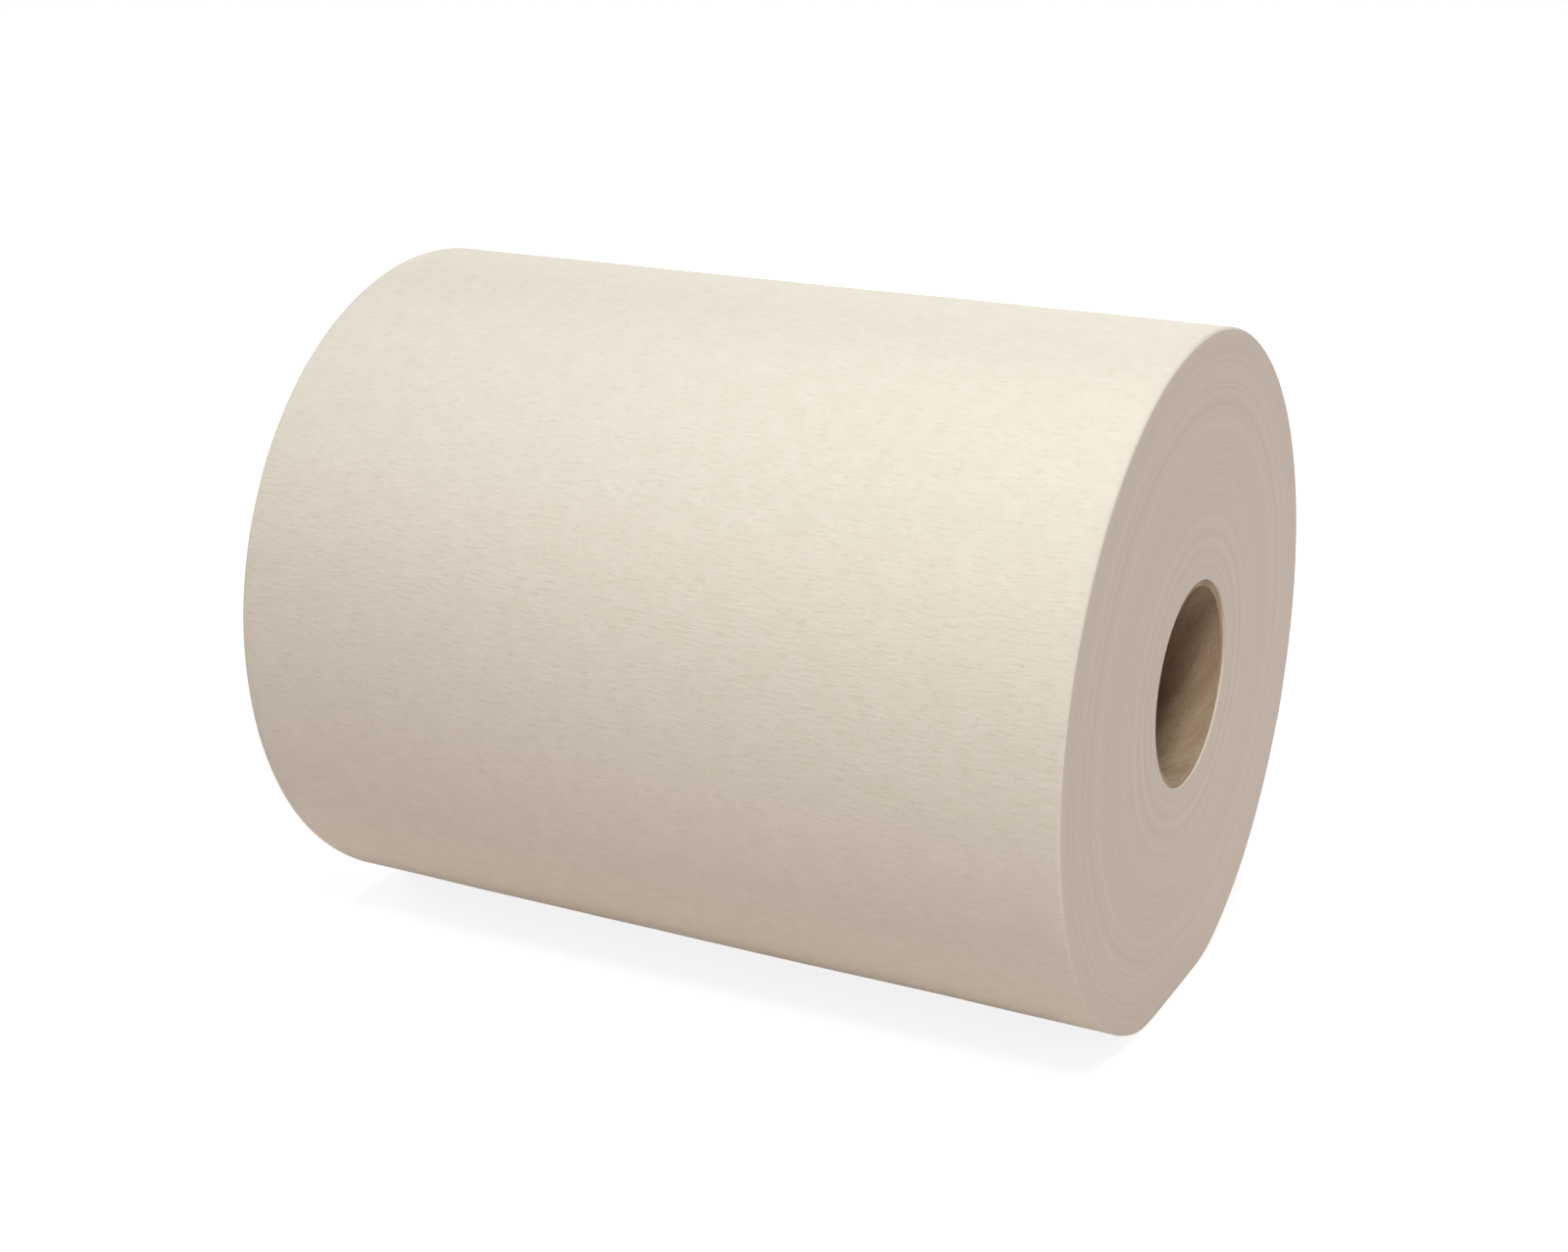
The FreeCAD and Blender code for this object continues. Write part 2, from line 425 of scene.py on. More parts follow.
@dataclass(frozen=True)
class DryFibre:
    """What paper and board have in common: a dull, porous surface of dry fibres.

    Attributes:
        name: The material's name.
        roughness: Near 1, because the fibres lie every way.
        gloss: Specular level, under the usual 0.5 because light sinks in between the fibres.
        nap: Sheen of the loose fibres that stand up.
        nap_roughness: How widely they spread the light.
        relief: Height of the pattern in millimetres.
    """

    IOR: ClassVar[float] = 1.5  # of cellulose

    name: str
    roughness: float
    gloss: float
    nap: float
    nap_roughness: float
    relief: float

    def finish(
        self,
        tree: bpy.types.NodeTree,
        colour: bpy.types.NodeSocket,
        height: bpy.types.NodeSocket,
    ) -> None:
        """Ends a material's tree with its shader.

        Args:
            tree: The material's tree.
            colour: The output that gives its colour.
            height: The output that gives its pattern's height, as a share of the relief.
        """
        bump = add_node(
            tree, "Bump", {"Height": height, "Strength": 1.0, "Distance": self.relief * MM}
        )
        shader = add_node(
            tree,
            "BsdfPrincipled",
            {
                "Base Color": colour,
                "Roughness": self.roughness,
                "IOR": self.IOR,
                "Specular IOR Level": self.gloss,
                "Sheen Weight": self.nap,
                "Sheen Roughness": self.nap_roughness,
                "Normal": bump.outputs[0],
            },
        )
        add_node(tree, "OutputMaterial", {"Surface": shader.outputs[0]})


@dataclass(frozen=True)
class CrepedTowel(DryFibre):
    """Creped paper towel, seen on its face.

    A blade scrapes the damp sheet off its drying cylinder and gathers it into fine ridges
    that run across the web, so along the roll. The eye gets a soft, matte, slightly napped
    cream with a faint grain and no gloss.

    Attributes:
        thin: The cream where the sheet is thin.
        thick: The cream where it is thick.
        valley_shade: Painted shade: a darker cream laid between the ridges, where the bump is low.
        fleck: The few unbleached fibres, which show as pale brown flecks.
        crepe_spacing: Space between the ridges in millimetres, as are the next three.
        crepe_length: Length of a ridge.
        cloud_size: Size of the thin and thick patches.
        fibre_size: Size of the pattern of the fibres.
        fibre_share: Height of that pattern as a share of the ridges'.
    """

    name: str = "creped_paper_towel_web"
    roughness: float = 0.92
    gloss: float = 0.25
    nap: float = 0.06
    nap_roughness: float = 0.6
    relief: float = 0.11
    thin: str = "#F1EAD7"
    thick: Layer = Layer("#F4EDDB", 0.35, 0.65)
    valley_shade: Layer = Layer("#EBE3CF", 0.48, 0.26)
    fleck: Layer = Layer("#D6C7AB", 0.70, 0.80, 0.5)
    crepe_spacing: float = 0.7  # real crepe is 0.3 to 0.5 mm, too fine to show
    crepe_length: float = 3.6
    cloud_size: float = 6.5
    fibre_size: float = 0.9
    fibre_share: float = 0.25

    def make(self, axis_height: float, radius: float) -> bpy.types.Material:
        """Makes the material.

        Args:
            axis_height: Height of the roll's axis in metres.
            radius: The roll's radius in millimetres, which turns an angle into a length.

        Returns:
            The material.
        """
        material = new_material(self.name)
        tree = material.node_tree
        where = RollPlace.find(tree, axis_height)
        round_the_roll = add_node(
            tree, "Math", {0: where.turned, 1: FULL_TURN * radius}, operation="MULTIPLY"
        )
        sheet = add_node(
            tree, "CombineXYZ", {"X": where.along, "Y": round_the_roll.outputs[0]}
        ).outputs[0]
        ridges_at = add_node(
            tree,
            "VectorMath",
            {0: sheet, 1: (1 / self.crepe_length, 1 / self.crepe_spacing, 1)},
            operation="MULTIPLY",
        )
        ridges, clouds, fibres = [
            add_node(tree, "TexNoise", look, noise_dimensions="2D").outputs[0]
            for look in (
                {
                    "Vector": ridges_at.outputs[0],
                    "Scale": 1,
                    "Detail": 3,
                    "Roughness": 0.6,
                    "Distortion": 0.35,
                },
                {"Vector": sheet, "Scale": 1 / self.cloud_size, "Detail": 4, "Roughness": 0.62},
                {"Vector": sheet, "Scale": 1 / self.fibre_size, "Detail": 2, "Distortion": 1.5},
            )
        ]
        colour = self.thick.over(tree, clouds, linear(self.thin))
        # Painted shade: the cream darkens in the crepe's valleys, where the ridges are low
        colour = self.valley_shade.over(tree, ridges, colour)
        colour = self.fleck.over(tree, fibres, colour)
        height = add_node(
            tree, "Math", {0: fibres, 1: self.fibre_share, 2: ridges}, operation="MULTIPLY_ADD"
        )
        self.finish(tree, colour, height.outputs[0])
        return material


@dataclass(frozen=True)
class SawCutTowel(DryFibre):
    """Paper towel, seen on the edges of some 470 turns that a log saw cut through.

    The eye gets a flat, chalky disc with faint rings and a fine nap of torn fibres. Its creams
    are darker than the web's, as painted shade of the light that sinks between the turns.

    Attributes:
        gap_shade: Painted shade: the darker cream laid where the rings and torn fibres are low,
            between the turns.
        pale: The cream on the turns' edges, where they stand high.
        rings: Space between rings in millimetres, and their share of the pattern's height.
        tear_size: Size of the torn fibres in millimetres.
        tear_share: Height of the torn fibres as a share of the rings'.
    """

    name: str = "saw_cut_paper_towel_edges"
    roughness: float = 0.96
    gloss: float = 0.15
    nap: float = 0.05
    nap_roughness: float = 0.7
    relief: float = 0.035
    gap_shade: str = "#E2D6C3"
    pale: Layer = Layer("#EAE0CE", 0.55, 0.85)
    # The finest stand for about five sheets, because one, of 0.12 mm, is too fine to show
    rings: tuple[tuple[float, float], ...] = ((0.55, 0.50), (2.4, 0.33), (9.0, 0.17))
    tear_size: float = 0.45
    tear_share: float = 0.4

    def make(self, axis_height: float) -> bpy.types.Material:
        """Makes the material.

        Args:
            axis_height: Height of the roll's axis in metres.

        Returns:
            The material.
        """
        material = new_material(self.name)
        tree = material.node_tree
        where = RollPlace.find(tree, axis_height)
        # The place in the winding is the same all along a sheet, so the rings are one long spiral
        winding = add_node(
            tree,
            "Math",
            {0: where.turned, 1: WOUND_PITCH, 2: where.radius},
            operation="MULTIPLY_ADD",
        )
        rings = 0.0
        for spacing, share in self.rings:
            band = add_node(
                tree,
                "TexNoise",
                {"W": winding.outputs[0], "Scale": 1 / spacing, "Detail": 1},
                noise_dimensions="1D",
            )
            rings = add_node(
                tree, "Math", {0: band.outputs[0], 1: share, 2: rings}, operation="MULTIPLY_ADD"
            ).outputs[0]
        tears = add_node(
            tree,
            "TexNoise",
            {"Vector": where.position, "Scale": 1 / self.tear_size, "Detail": 3, "Roughness": 0.6},
        )
        height = add_node(
            tree,
            "Math",
            {0: tears.outputs[0], 1: self.tear_share, 2: rings},
            operation="MULTIPLY_ADD",
        ).outputs[0]
        # Painted shade: the cream darkens towards the gap shade where the rings and torn fibres are
        # low
        self.finish(tree, self.pale.over(tree, height, linear(self.gap_shade)), height)
        return material


@dataclass(frozen=True)
class RecycledBoard(DryFibre):
    """Grey-brown recycled cardboard, wound in strips into a tube.

    The eye gets a dull, dry board with short fibres, pale and dark specks from the waste
    paper in it, streaks along the strips and a dark line of glue where they meet.

    Attributes:
        dark: The board at its darkest, apart from its specks.
        light: The board at its lightest.
        pale_speck: Specks of waste paper.
        dark_speck: Specks of its print.
        glue: The line between two strips.
        fibre_length: Length of the fibres in millimetres, along the strip.
        fibre_width: Their width in millimetres.
        fibre_share: How much they colour the board, as a share of what the clouds do.
        speck_size: Size of the specks in millimetres.
        cloud_size: Size of the lighter and darker patches in millimetres.
    """

    name: str = "recycled_cardboard_core"
    roughness: float = 0.88
    gloss: float = 0.3
    nap: float = 0.0
    nap_roughness: float = 0.5
    relief: float = 0.02
    dark: str = "#A68F74"
    light: Layer = Layer("#BDA78C", 0.55, 0.95)
    pale_speck: Layer = Layer("#D8CBB5", 0.68, 0.74, 0.6)
    dark_speck: Layer = Layer("#6E5A46", 0.32, 0.27, 0.5)
    glue: Layer = Layer("#5E4B36", 0.1, 0.9, 0.8)
    fibre_length: float = 2.6
    fibre_width: float = 0.35
    fibre_share: float = 0.5
    speck_size: float = 0.8
    cloud_size: float = 7.0

    def make(self) -> bpy.types.Material:
        """Makes the material, which reads where a point was before the tube was twisted.

        Returns:
            The material.
        """
        material = new_material(self.name)
        tree = material.node_tree
        strip, seam = [
            add_node(tree, "Attribute", attribute_name=name, attribute_type="GEOMETRY")
            for name in (CardboardCore.STRIP, CardboardCore.SEAM)
        ]
        per_fibre = (1 / self.fibre_length, 1 / self.fibre_width, 1 / self.fibre_width)
        fibres_at = add_node(
            tree, "VectorMath", {0: strip.outputs["Vector"], 1: per_fibre}, operation="MULTIPLY"
        )
        fibres, clouds, specks = [
            add_node(tree, "TexNoise", look).outputs[0]
            for look in (
                {"Vector": fibres_at.outputs[0], "Scale": 1, "Detail": 3, "Distortion": 0.8},
                {"Vector": strip.outputs["Vector"], "Scale": 1 / self.cloud_size, "Detail": 3},
                {"Vector": strip.outputs["Vector"], "Scale": 1 / self.speck_size, "Detail": 1},
            )
        ]
        blend = add_node(
            tree, "Math", {0: fibres, 1: self.fibre_share, 2: clouds}, operation="MULTIPLY_ADD"
        )
        colour = self.light.over(tree, blend.outputs[0], linear(self.dark))
        colour = self.pale_speck.over(tree, specks, colour)
        colour = self.dark_speck.over(tree, specks, colour)
        colour = self.glue.over(tree, seam.outputs["Fac"], colour)
        self.finish(tree, colour, fibres)
        return material


@dataclass
class WoundPaper:
    """The paper web, wound tight and sawn to length, with its last turn's free edge.

    Attributes:
        length: Width of the web, which is the roll's length.
        axis_height: Height of the roll's axis over the floor.
        radius: Radius of the turn under the free edge.
        seat: Radius of the hole that the core fills.
        sheet: Thickness of the paper at its free edge.
        rim: Rounding that the saw leaves on the outer turns.
        rim_rows: Rings of faces across that rounding.
        row: Space between the rings of faces on the ends.
        column: Space between the rings of faces on the web.
        seat_cuts: Rings of points along the seat, between its ends.
        steps: Faces round the roll.
        inset: How far inside the roll's length the turns end, on average.
        fine_turns: How the turns end further in or out than their neighbours.
        broad_turns: How wide groups of turns do.
        bands: The bands that slitting and winding leave on the web.
        free: How far the paper runs on past the glue that holds its end down.
        lip_steps: Faces along that free stretch.
        peel: How far the free edge stands off because the stretch leaves the roll at an angle.
        curl: How much further it stands off because it curls, on average.
        curl_waves: How that differs along the edge.
        least_curl: The least that it is.
        held: Share of the edge's height that is lost at the ends of the roll.
        held_power: How close to the ends that happens.
        ragged: How far the free edge strays from a straight cut.
        swells: Length and height of the web's swells.
        swell_depth: How far under the web the swells reach.
        swell_clear: How high over the floor they are whole, from nothing on it.
        firm: The radius inside which the roll's weight moves nothing.
        flat_fade: How softly the flat spot meets the round, as the height over which it does.
    """

    # How far along X the normal of a face of a sawn end points, at least
    FACES_AN_END: ClassVar[float] = 0.8

    length: float
    axis_height: float
    radius: float
    seat: float
    sheet: float = 0.2 * MM
    rim: float = 0.8 * MM
    rim_rows: int = 3
    row: float = 0.9 * MM
    column: float = 2.5 * MM
    seat_cuts: int = 1
    steps: int = 240
    inset: float = 0.05 * MM
    fine_turns: Wave = Wave(1.7 * MM, 0.055 * MM, row=10)
    broad_turns: Wave = Wave(11 * MM, 0.16 * MM, row=20, layer=5)
    bands: Wave = Wave(34 * MM, 0.1 * MM, row=3)
    free: float = 14 * MM
    lip_steps: int = 8
    peel: float = 0.1 * MM
    curl: float = 1.6 * MM
    curl_waves: Wave = Wave(38 * MM, 2.0 * MM, layer=7)
    least_curl: float = 0.9 * MM
    held: float = 0.9
    held_power: int = 10
    ragged: Wave = Wave(7 * MM, 0.22 * MM, row=4)
    swells: tuple[tuple[float, float], ...] = ((42 * MM, 0.16 * MM), (15 * MM, 0.05 * MM))
    swell_depth: float = 6 * MM
    swell_clear: float = 8 * MM
    firm: float = 55 * MM
    flat_fade: float = 2.0 * MM

    def build(self) -> bpy.types.Object:
        """Models and dresses the wound paper.

        Returns:
            The piece.
        """
        piece = self.cut_section()
        self.wind(piece)
        self.free_the_edge(piece)
        reshape(piece, self.uneven)
        self.settle(piece)
        place(piece, self.axis_height)
        self.dress(piece)
        return piece

    @property
    def glue_angle(self) -> float:
        """The angle where the glue ends, a free stretch above the free edge."""
        return TAIL_ANGLE + self.free / self.radius

    def cut_section(self) -> bpy.types.Object:
        """Draws the half section with its rounded rims and the relief of the turns.

        Returns:
            The section's outline, at the angle where the last turn's glue ends.
        """
        piece = draw_section("wound_paper", self.length, self.seat, self.radius)
        round_corners(piece, self.on_web, self.rim, self.rim_rows)
        depth = self.radius - self.rim - self.seat
        divide(piece, self.on_end, round(depth / self.row) - 1)
        divide(piece, self.on_web, round(self.length / self.column) - 1)
        divide(piece, lambda at: at.z < self.seat + ON_A_FACE, self.seat_cuts)
        reshape(piece, self.relief)
        piece.rotation_euler.x = self.glue_angle - math.pi / 2
        bpy.ops.object.transform_apply(location=True, rotation=True, scale=True)
        return piece

    def on_end(self, at: Vector) -> bool:
        """Says whether a point lies on a sawn end."""
        return abs(at.x) > self.length / 2 - ON_A_FACE

    def on_web(self, at: Vector) -> bool:
        """Says whether a point of the section, still above the axis, lies on the web."""
        return at.z > self.radius - ON_A_FACE

    def relief(self, _: int, at: Vector) -> Vector:
        """Moves a point of the section, still above the axis, as the winding and the saw do.

        Args:
            at: The point.

        Returns:
            Its new place: the turns stand in and out at the ends, and the web has slight bands.
        """
        if self.on_end(at):
            side = math.copysign(1, at.x)
            inset = self.inset + self.fine_turns.at(at.z, side) + self.broad_turns.at(at.z, side)
            return at - Vector((side * max(0.0, inset), 0, 0))
        if at.z > self.radius - self.rim:
            return at + Vector((0, 0, self.bands.at(at.x)))
        return at

    def wind(self, piece: bpy.types.Object) -> None:
        """Spins the section round the axis and lets the last turn out by a sheet.

        Args:
            piece: The section's outline, which becomes the roll, open at its last turn's step.
        """
        spin_round(piece, self.steps)
        last = {vertex.index for vertex in piece.data.vertices if vertex.select}
        section = len(last)

        def let_out(index: int, at: Vector) -> Vector:
            """Moves a point of the rim or the web out, less and less along the turn.

            Args:
                index: The point's number.
                at: Its place.

            Returns:
                Its new place.
            """
            radius, _ = polar(at)
            over_rim = clamp((radius - self.radius + self.rim) / self.rim)
            # The sections' vertices are numbered one section after the other
            turned = 1.0 if index in last else (index // section) / self.steps
            return spread(at, 1 + self.sheet * over_rim * (1 - turned) / radius)

        reshape(piece, let_out)
        close_mesh(piece)

    def free_the_edge(self, piece: bpy.types.Object) -> None:
        """Closes the step at the end of the last turn and draws the free stretch out of it.

        Args:
            piece: The roll, open at the step.
        """
        turned_last = len(piece.data.vertices)
        bpy.ops.object.mode_set(mode="EDIT")
        bpy.ops.mesh.select_mode(type="EDGE")
        bpy.ops.mesh.select_all(action="DESELECT")
        bpy.ops.mesh.select_non_manifold(extend=False)
        bpy.ops.mesh.edge_face_add()
        bpy.ops.mesh.select_mode(type="FACE")
        bpy.ops.mesh.normals_make_consistent(inside=False)
        for _ in range(self.lip_steps):
            bpy.ops.mesh.extrude_region()
            # With no window this turns clockwise, seen from +X, for a value over 0
            bpy.ops.transform.rotate(
                value=self.free / self.radius / self.lip_steps,
                orient_axis="X",
                center_override=(0, 0, 0),
            )
        bpy.ops.mesh.quads_convert_to_tris()
        bpy.ops.object.mode_set(mode="OBJECT")

        def lift(index: int, at: Vector) -> Vector:
            """Lifts a point of the free stretch, more towards its edge, in shallow waves.

            Args:
                index: The point's number.
                at: Its place.

            Returns:
                Its new place, or the same one for a point of a glued turn.
            """
            if index < turned_last:
                return at
            radius, angle = polar(at)
            gone = (self.glue_angle - angle) * self.radius / self.free
            curl = max(self.least_curl, self.curl + self.curl_waves.at(at.x))
            free_share = 1 - self.held * abs(2 * at.x / self.length) ** self.held_power
            radius += (self.peel * gone + curl * gone**2) * free_share
            angle += self.ragged.at(at.x) * gone / self.radius
            return Vector((at.x, radius * math.cos(angle), radius * math.sin(angle)))

        reshape(piece, lift)
        close_mesh(piece)

    def uneven(self, _: int, at: Vector) -> Vector:
        """Gives the web the slight swells of soft paper.

        Args:
            at: A point of the roll round the X axis.

        Returns:
            Its new place, moved along its radius where it is on the web and clear of the floor.
        """
        radius, _ = polar(at)
        near_web = clamp((radius - self.radius + self.swell_depth) / self.swell_depth)
        off_floor = clamp((at.z + self.axis_height) / self.swell_clear)
        swell = sum(height * noise.noise(at / length) for length, height in self.swells)
        return spread(at, 1 + near_web * off_floor * swell / radius)

    def settle(self, piece: bpy.types.Object) -> None:
        """Presses the lowest turns together over the flat spot that the roll lies on.

        The outer turns give way the most, and the flat rises softly into the round. Each
        point keeps how far it moved in, so that the pattern of the turns bends with them.

        Args:
            piece: The roll round the X axis.
        """
        pressed_in = piece.data.attributes.new(RollPlace.PRESSED, "FLOAT", "POINT")

        def press(index: int, at: Vector) -> Vector:
            """Moves a point in towards the axis, and up to the floor if it is still below.

            Args:
                index: The point's number.
                at: Its place.

            Returns:
                Its new place.
            """
            radius, angle = polar(at)
            if radius <= self.firm or at.z >= 0:
                return at
            over = self.radius + self.axis_height / math.sin(angle)
            # Where the round and the flat meet, a parabola runs smoothly into both
            if abs(over) < self.flat_fade:
                over = (over + self.flat_fade) ** 2 / (4 * self.flat_fade)
            moved = max(0.0, over) * (radius - self.firm) / (self.radius - self.firm)
            pressed_in.data[index].value = moved / MM
            radius -= moved
            height = max(radius * math.sin(angle), -self.axis_height)
            return Vector((at.x, radius * math.cos(angle), height))

        reshape(piece, press)

    def dress(self, piece: bpy.types.Object) -> None:
        """Gives the web and the ends their materials.

        Args:
            piece: The finished roll.
        """
        piece.data.materials.append(CrepedTowel().make(self.axis_height, self.radius / MM))
        piece.data.materials.append(SawCutTowel().make(self.axis_height))
        for face in piece.data.polygons:
            side = Side.SAW_CUT if abs(face.normal.x) > self.FACES_AN_END else Side.WEB
            face.material_index = side.value


@dataclass
class CardboardCore:
    """The tube that the paper is wound on: strips of board glued in a steep spiral.

    Attributes:
        length: Length of the tube.
        axis_height: Height of its axis over the floor.
        bore: Inner radius.
        outside: Outer radius.
        strip_lead: How far the innermost strip moves along the tube in one turn.
        seam_sink: How many times as far from the axis as the bore its seam lies.
        plies: Layers of board in the wall.
        broken_edge: Bevel of the wall's edges.
        inset: How far inside the tube's length the plies end, on average.
        ply_edges: How some end further in or out than others.
        rings: Faces along the tube.
        steps: Faces round the tube.
    """

    STRIP: ClassVar[str] = "strip_place"
    SEAM: ClassVar[str] = "strip_seam"

    length: float
    axis_height: float
    bore: float
    outside: float
    strip_lead: float = 90.5 * MM
    seam_sink: float = 1.01
    plies: int = 4
    broken_edge: float = 0.12 * MM
    inset: float = 0.05 * MM
    ply_edges: Wave = Wave(0.23 * MM, 0.1 * MM, row=8)
    rings: int = 100
    steps: int = 192

    def build(self) -> bpy.types.Object:
        """Models and dresses the tube.

        Returns:
            The piece.
        """
        piece = self.cut_section()
        spin_round(piece, self.steps)
        close_mesh(piece)
        self.mark_strips(piece)
        self.twist(piece)
        place(piece, self.axis_height)
        piece.data.materials.append(RecycledBoard().make())
        return piece

    def cut_section(self) -> bpy.types.Object:
        """Draws the wall's section with its plies and broken edges.

        Returns:
            The section's outline, above the X axis.
        """
        piece = draw_section("core_tube", self.length, self.bore, self.outside)
        round_corners(piece, lambda at: True, self.broken_edge, 1)
        divide(piece, self.on_end, 2 * self.plies)
        divide(piece, lambda at: at.z > self.outside - ON_A_FACE, self.rings - 1)
        divide(piece, lambda at: at.z < self.bore + ON_A_FACE, self.rings - 1)
        reshape(piece, self.step_plies)
        return piece

    def on_end(self, at: Vector) -> bool:
        """Says whether a point lies on an end of the tube."""
        return abs(at.x) > self.length / 2 - ON_A_FACE

    def step_plies(self, _: int, at: Vector) -> Vector:
        """Sets the plies' edges in and out at the ends of the tube.

        Args:
            at: A point of the section.

        Returns:
            Its new place.
        """
        if not self.on_end(at):
            return at
        side = math.copysign(1, at.x)
        inset = self.inset + self.ply_edges.at(at.z, side)
        return at - Vector((side * max(0.0, inset), 0, 0))

    def mark_strips(self, piece: bpy.types.Object) -> None:
        """Notes each point's place on the untwisted strips and sinks their seam.

        Args:
            piece: The closed tube before it is twisted.
        """
        # A new attribute moves the older ones, so both are made before either is looked up
        piece.data.attributes.new(self.STRIP, "FLOAT_VECTOR", "POINT")
        piece.data.attributes.new(self.SEAM, "FLOAT", "POINT")
        places, seams = piece.data.attributes[self.STRIP], piece.data.attributes[self.SEAM]
        first_ply = self.bore + (self.outside - self.bore) / self.plies
        seam_angle = math.pi - 0.5 * FULL_TURN / self.steps
        for vertex in piece.data.vertices:
            radius, angle = polar(vertex.co)
            places.data[vertex.index].vector = (vertex.co.x / MM, angle * radius / MM, radius / MM)
            if radius < first_ply and abs(angle) > seam_angle:
                seams.data[vertex.index].value = 1.0
                vertex.co = spread(vertex.co, self.seam_sink)

    def twist(self, piece: bpy.types.Object) -> None:
        """Twists the tube about its axis, so that its seam winds through the bore.

        Args:
            piece: The tube.
        """
        deform = piece.modifiers.new("twist", "SIMPLE_DEFORM")
        deform.deform_method = "TWIST"
        deform.deform_axis = "X"
        deform.angle = FULL_TURN * self.length / self.strip_lead
        bpy.ops.object.modifier_apply(modifier=deform.name)


@dataclass(frozen=True)
class Softbox:
    """A square soft lamp that faces the roll, and that the camera doesn't see.

    Attributes:
        name: The lamp's name.
        azimuth: Where it stands in degrees, 0 in front of the roll and 90 at its near end.
        elevation: How high it stands, in degrees.
        distance: How far it stands from the roll.
        width: Its side.
        tint: Its light's colour.
        level: The share of a surface's own colour that it gives one that faces it.
    """

    name: str
    azimuth: float
    elevation: float
    distance: float
    width: float
    tint: tuple[float, float, float]
    level: float

    def hang(self, target: Vector) -> None:
        """Adds the lamp.

        Args:
            target: The point that it faces.
        """
        data = bpy.data.lights.new(self.name, "AREA")
        data.shape = "SQUARE"
        data.size = self.width
        data.color = self.tint
        data.energy = self.level * (math.pi * self.distance) ** 2
        lamp = bpy.data.objects.new(self.name, data)
        lamp.visible_camera = False
        bpy.context.scene.collection.objects.link(lamp)
        azimuth, elevation = math.radians(self.azimuth), math.radians(self.elevation)
        away = Vector((
            math.sin(azimuth) * math.cos(elevation),
            -math.cos(azimuth) * math.cos(elevation),
            math.sin(elevation),
        ))
        lamp.location = target + away * self.distance
        lamp.rotation_euler = away.to_track_quat("Z", "Y").to_euler()


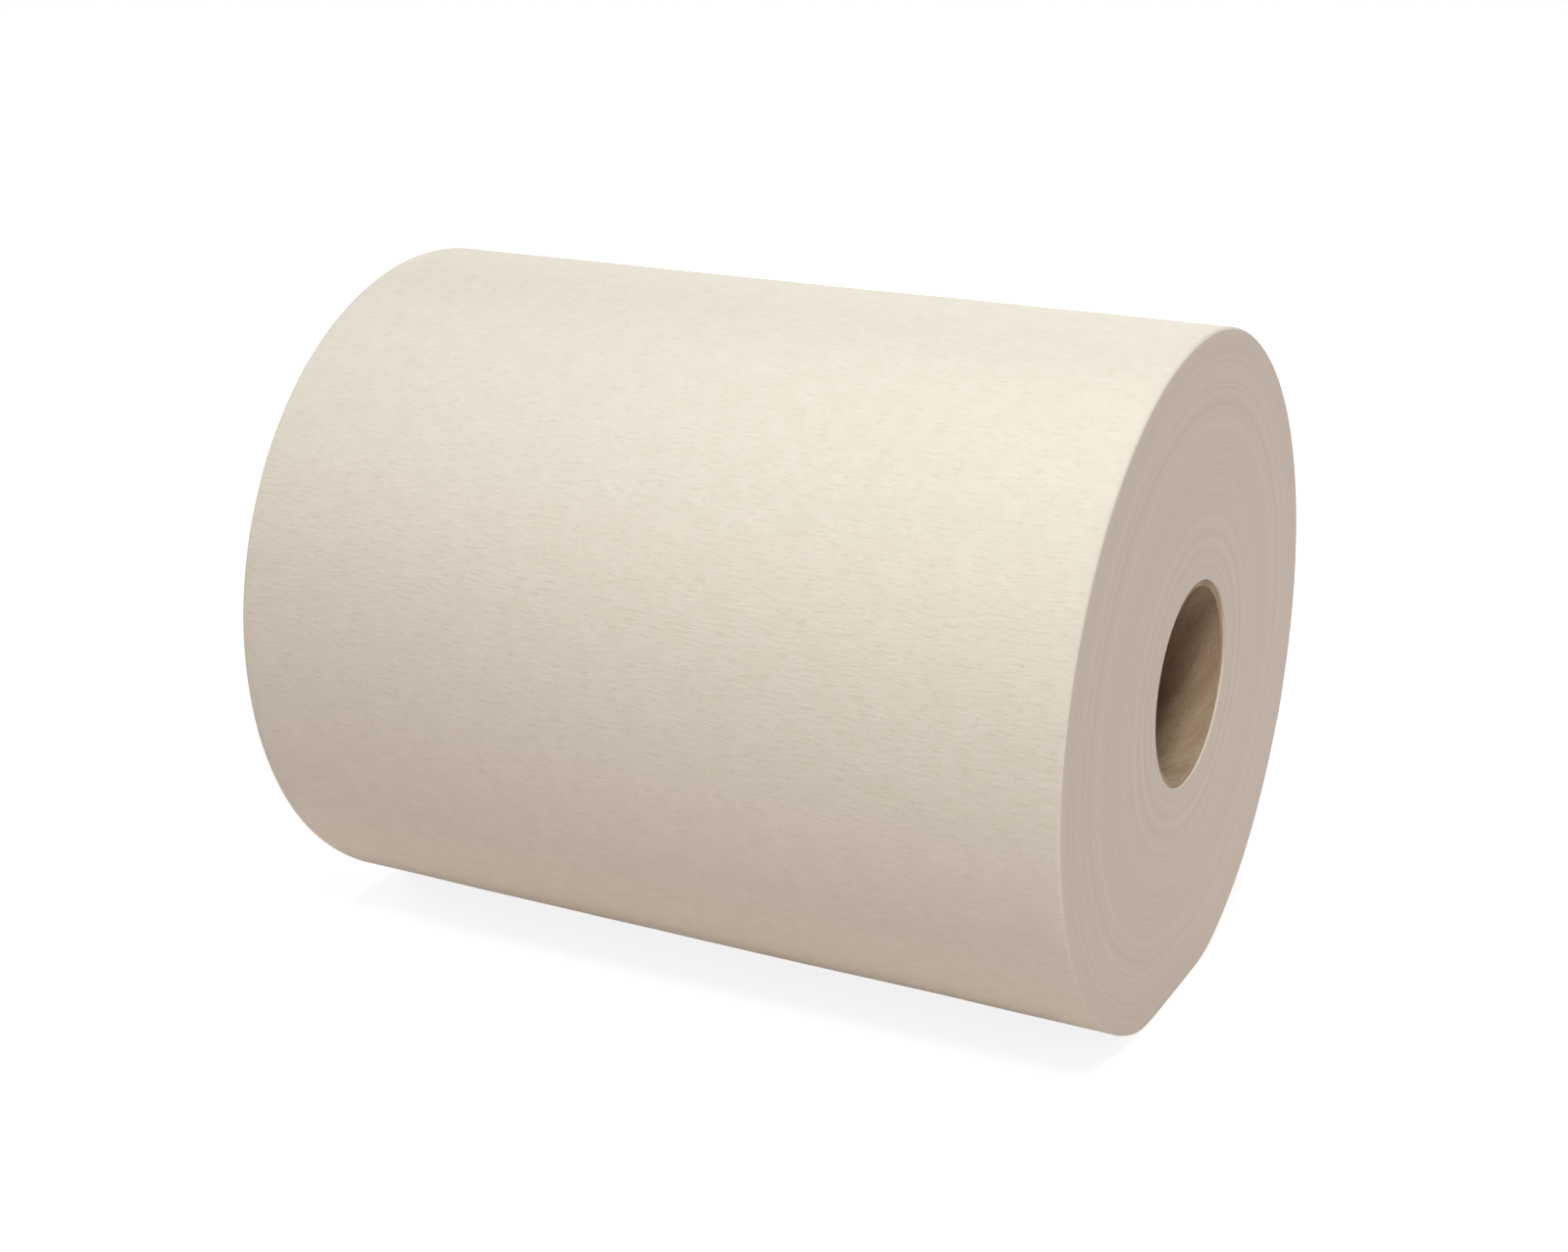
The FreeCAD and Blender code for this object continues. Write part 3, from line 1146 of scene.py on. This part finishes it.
@dataclass
class Studio:
    """The plain studio: a pale floor, soft lamps, a white surround and the camera.

    Attributes:
        target: The point that the lamps face.
        camera_place: Where the camera stands.
        camera_turn: How it is turned, in degrees.
        lens: Its focal length in millimetres, for a sensor of the next width.
        sensor: Width of the sensor in millimetres.
        sight: The nearest and the furthest that it sees.
        lamps: The lamps, fitted to the photograph's light and shade on the web and the near end.
        floor_radius: How far the floor reaches.
        floor_corners: Corners of its edge.
        floor_bounce: The floor's colour, as the roll and the lamps see it.
        floor_glow: To the camera, how much it glows under the roll and far from it.
        glow_reach: How far from the roll's middle the glow starts to grow, and stops.
        shadow_grey: The grey that catches the roll's shadow, over the glow.
    """

    target: Vector
    camera_place: tuple[float, float, float] = (0.2671, -0.5220, 0.2777)
    camera_turn: tuple[float, float, float] = (70.92, 0.0, 27.21)
    lens: float = 58.95
    sensor: float = 36
    sight: tuple[float, float] = (0.01, 50)
    lamps: tuple[Softbox, ...] = (
        Softbox("key", 30, 52, 0.75, 0.15, (0.986, 1.0, 0.928), 0.555),
        Softbox("overhead", 0, 90, 1.2, 0.6, (0.761, 0.805, 1.0), 0.305),
        Softbox("near_end_fill", 110, 0, 0.5, 0.35, (0.952, 0.869, 1.0), 0.269),
        Softbox("front_fill", 10, 1, 1.2, 0.9, (0.919, 0.631, 1.0), 0.139),
        Softbox("back_fill", 195, 16, 1.2, 0.2, (1.0, 0.97, 0.94), 0.36),
        Softbox("far_end_fill", -90, 25, 1.3, 0.6, (1.0, 0.96, 0.92), 0.26),
    )
    floor_radius: float = 6
    floor_corners: int = 96
    floor_bounce: str = "#E8E0DC"
    floor_glow: tuple[float, float] = (0.86, 1.0)
    glow_reach: tuple[float, float] = (0.14, 0.5)
    shadow_grey: float = 0.3

    def build(self) -> None:
        """Builds the floor, the lamps, the surround and the camera, and keeps colours plain."""
        self.lay_floor()
        for lamp in self.lamps:
            lamp.hang(self.target)
        self.whiten_surround()
        self.set_camera()
        bpy.context.scene.view_settings.view_transform = "Standard"

    def lay_floor(self) -> None:
        """Lays a pale floor that the camera sees as white, with the roll's soft shadow.

        To the camera it glows enough to be white where the lamps reach it, and wholly beyond
        the shadow's reach. To everything else it is a plain matte floor.
        """
        bpy.ops.object.select_all(action="DESELECT")
        bpy.ops.mesh.primitive_circle_add(
            vertices=self.floor_corners, radius=self.floor_radius, fill_type="NGON"
        )
        floor = bpy.context.object
        floor.name = "floor"
        material = new_material("matte_studio_floor")
        tree = material.node_tree
        matte = add_node(tree, "BsdfDiffuse", {"Color": linear(self.floor_bounce)})
        coordinates = add_node(tree, "TexCoord")
        away = add_node(tree, "VectorMath", {0: coordinates.outputs["Object"]}, operation="LENGTH")
        glow = add_node(
            tree,
            "MapRange",
            {
                "Value": away.outputs["Value"],
                "From Min": self.glow_reach[0],
                "From Max": self.glow_reach[1],
                "To Min": self.floor_glow[0],
                "To Max": self.floor_glow[1],
            },
            interpolation_type="SMOOTHSTEP",
        )
        white = add_node(tree, "Emission", {"Color": linear(WHITE), "Strength": glow.outputs[0]})
        grey = (self.shadow_grey, self.shadow_grey, self.shadow_grey, 1)
        faint = add_node(tree, "BsdfDiffuse", {"Color": grey})
        seen = add_node(tree, "AddShader", {0: white.outputs[0], 1: faint.outputs[0]})
        mixed = add_node(
            tree,
            "MixShader",
            {0: self.looked_at(tree), 1: matte.outputs[0], 2: seen.outputs[0]},
        )
        add_node(tree, "OutputMaterial", {"Surface": mixed.outputs[0]})
        floor.data.materials.append(material)

    @staticmethod
    def looked_at(tree: bpy.types.NodeTree) -> bpy.types.NodeSocket:
        """Finds the rays that carry the background itself: straight, mirrored or refracted.

        Args:
            tree: The tree.

        Returns:
            An output that is 1 for such a ray.
        """
        path = add_node(tree, "LightPath")
        mirrored = add_node(
            tree,
            "Math",
            {0: path.outputs["Is Glossy Ray"], 1: path.outputs["Is Transmission Ray"]},
            operation="MAXIMUM",
        )
        return add_node(
            tree,
            "Math",
            {0: path.outputs["Is Camera Ray"], 1: mirrored.outputs[0]},
            operation="MAXIMUM",
        ).outputs[0]

    def whiten_surround(self) -> None:
        """Makes the surround white to look at and dark otherwise, so only the lamps give light."""
        world = bpy.data.worlds.new("white_surround")
        world.use_nodes = True
        tree = world.node_tree
        tree.nodes.clear()
        white = add_node(
            tree, "Background", {"Color": linear(WHITE), "Strength": self.looked_at(tree)}
        )
        add_node(tree, "OutputWorld", {"Surface": white.outputs[0]})
        bpy.context.scene.world = world

    def set_camera(self) -> None:
        """Sets the camera that was fitted to the photograph's outline."""
        data = bpy.data.cameras.new("camera")
        data.lens = self.lens
        data.sensor_fit = "HORIZONTAL"
        data.sensor_width = self.sensor
        data.clip_start, data.clip_end = self.sight
        camera = bpy.data.objects.new("camera", data)
        bpy.context.scene.collection.objects.link(camera)
        camera.location = self.camera_place
        camera.rotation_euler = [math.radians(angle) for angle in self.camera_turn]
        bpy.context.scene.camera = camera


def main() -> None:
    """Builds the roll and its studio, and reports each piece."""
    logging.basicConfig(level=logging.INFO, format="%(name)s: %(message)s")
    mounts = {mount["name"]: mount for mount in frame["record"]["mounts"]}
    axis_height = mounts["core_bore"]["pos_m"][2]
    bore = mounts["core_bore"]["dims"]["r_mm"] * MM
    paper_low, paper_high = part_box("towel_roll")
    core_low, core_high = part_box("core")
    core_outside = (core_high.y - core_low.y) / 2

    paper = WoundPaper(
        length=paper_high.x - paper_low.x,
        axis_height=axis_height,
        radius=-paper_low.y,
        seat=core_outside + GLUE_FILM,
    ).build()
    core = CardboardCore(
        length=core_high.x - core_low.x,
        axis_height=axis_height,
        bore=bore,
        outside=core_outside,
    ).build()
    for piece, node, slot in ((paper, "towel_roll", "towel_paper"), (core, "core", "core_board")):
        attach(piece, "root")
        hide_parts(node)
        LOG.info("%s: %d faces, in place of %s", piece.name, len(piece.data.polygons), node)

    Studio(target=Vector((0, 0, axis_height))).build()


if __name__ == "__main__":
    main()
